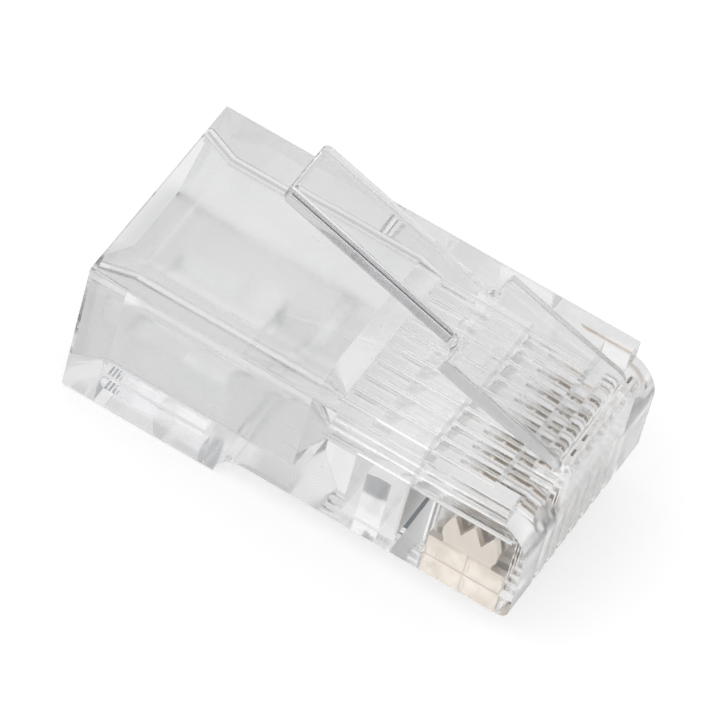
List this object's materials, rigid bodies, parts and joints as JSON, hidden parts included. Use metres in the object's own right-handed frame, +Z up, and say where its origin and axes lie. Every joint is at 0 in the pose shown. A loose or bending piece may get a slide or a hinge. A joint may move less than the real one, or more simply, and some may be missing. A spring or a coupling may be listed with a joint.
{
  "type": "rj45 modular plug",
  "caption": "Clear modular network plug with a sprung latch, gold contact blades, wire channels and two clamps, not yet crimped.",
  "frame": {"origin": "middle of the plug's length and width, at the level of the rear section's sole", "axes": "+X towards the nose that enters the jack, +Y across the contacts, +Z up towards the latch"},
  "size_m": [0.0222, 0.0116, 0.0142],
  "materials": {
    "clear_plastic": "clear moulded, glossy",
    "gold_contact": "gold plated, satin"
  },
  "bodies": {
    "housing": {"housing": "clear_plastic"},
    "latch": {"latch": "clear_plastic"},
    "jacket_clamp": {"jacket_clamp": "clear_plastic"},
    "wire_clamp": {"wire_clamp": "clear_plastic"},
    "contact_1": {"contact_1": "gold_contact"},
    "contact_2": {"contact_2": "gold_contact"},
    "contact_3": {"contact_3": "gold_contact"},
    "contact_4": {"contact_4": "gold_contact"},
    "contact_5": {"contact_5": "gold_contact"},
    "contact_6": {"contact_6": "gold_contact"},
    "contact_7": {"contact_7": "gold_contact"},
    "contact_8": {"contact_8": "gold_contact"}
  },
  "joints": [
    {"name": "latch_flex", "type": "hinge", "parent": "housing", "child": "latch", "pos_m": [0.01005, 0, 0.0087], "axis": [0, -1, 0], "range_deg": [0, 17], "stiffness_Nm_per_rad": 0.1},
    {"name": "jacket_clamp_crimp", "type": "hinge", "parent": "housing", "child": "jacket_clamp", "pos_m": [-0.00969, 0, 0.0005], "axis": [0, -1, 0], "range_deg": [0, 16]},
    {"name": "wire_clamp_crimp", "type": "slide", "parent": "housing", "child": "wire_clamp", "axis": [0, 0, 1], "range_m": [0, 0.00065]},
    {"name": "contact_1_crimp", "type": "slide", "parent": "housing", "child": "contact_1", "axis": [0, 0, 1], "range_m": [0, 0.0009]},
    {"name": "contact_2_crimp", "type": "slide", "parent": "housing", "child": "contact_2", "axis": [0, 0, 1], "range_m": [0, 0.0009]},
    {"name": "contact_3_crimp", "type": "slide", "parent": "housing", "child": "contact_3", "axis": [0, 0, 1], "range_m": [0, 0.0009]},
    {"name": "contact_4_crimp", "type": "slide", "parent": "housing", "child": "contact_4", "axis": [0, 0, 1], "range_m": [0, 0.0009]},
    {"name": "contact_5_crimp", "type": "slide", "parent": "housing", "child": "contact_5", "axis": [0, 0, 1], "range_m": [0, 0.0009]},
    {"name": "contact_6_crimp", "type": "slide", "parent": "housing", "child": "contact_6", "axis": [0, 0, 1], "range_m": [0, 0.0009]},
    {"name": "contact_7_crimp", "type": "slide", "parent": "housing", "child": "contact_7", "axis": [0, 0, 1], "range_m": [0, 0.0009]},
    {"name": "contact_8_crimp", "type": "slide", "parent": "housing", "child": "contact_8", "axis": [0, 0, 1], "range_m": [0, 0.0009]}
  ]
}
